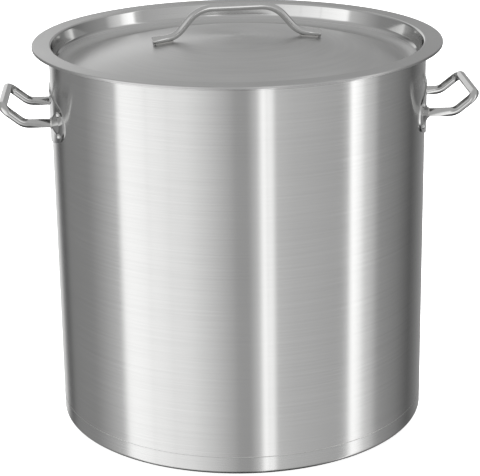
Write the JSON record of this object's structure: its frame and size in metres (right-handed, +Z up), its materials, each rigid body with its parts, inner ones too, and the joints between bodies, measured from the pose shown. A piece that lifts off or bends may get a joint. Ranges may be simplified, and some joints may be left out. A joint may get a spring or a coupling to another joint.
{
  "type": "brew kettle",
  "caption": "Large cylindrical steel stockpot for brewing with a recessed domed lid, a bar lid handle and angled bar side handles on riveted oval plates.",
  "frame": {"origin": "middle of the underside, on the surface that the kettle stands on", "axes": "+Z up, +X through the right side handle, -Y the front"},
  "size_m": [0.636, 0.546, 0.575],
  "materials": {
    "pot": "brushed round the pot",
    "lid": "turned in rings, satin",
    "bars": "polished bar",
    "plates": "polished sheet",
    "rivets": "polished round heads",
    "welds": "cleaned weld",
    "base": "satin",
    "core": "plain"
  },
  "bodies": {
    "kettle": {"body_shell": "pot", "bottom_pan": "pot", "base_cap": "base", "heat_spreader_disc": "core", "left_handle_plate": "plates", "left_handle_loop": "bars", "left_front_rivets": "rivets", "left_front_leg_weld": "welds", "left_back_rivets": "rivets", "left_back_leg_weld": "welds", "right_handle_plate": "plates", "right_handle_loop": "bars", "right_front_rivets": "rivets", "right_front_leg_weld": "welds", "right_back_rivets": "rivets", "right_back_leg_weld": "welds"},
    "lid": {"lid_pan": "lid", "lid_handle_bar": "bars", "lid_handle_left_weld": "welds", "lid_handle_right_weld": "welds"}
  },
  "joints": [
    {"name": "lid_lift", "type": "slide", "parent": "kettle", "child": "lid", "axis": [0, 0, 1], "range_m": [0, 0.4]}
  ]
}
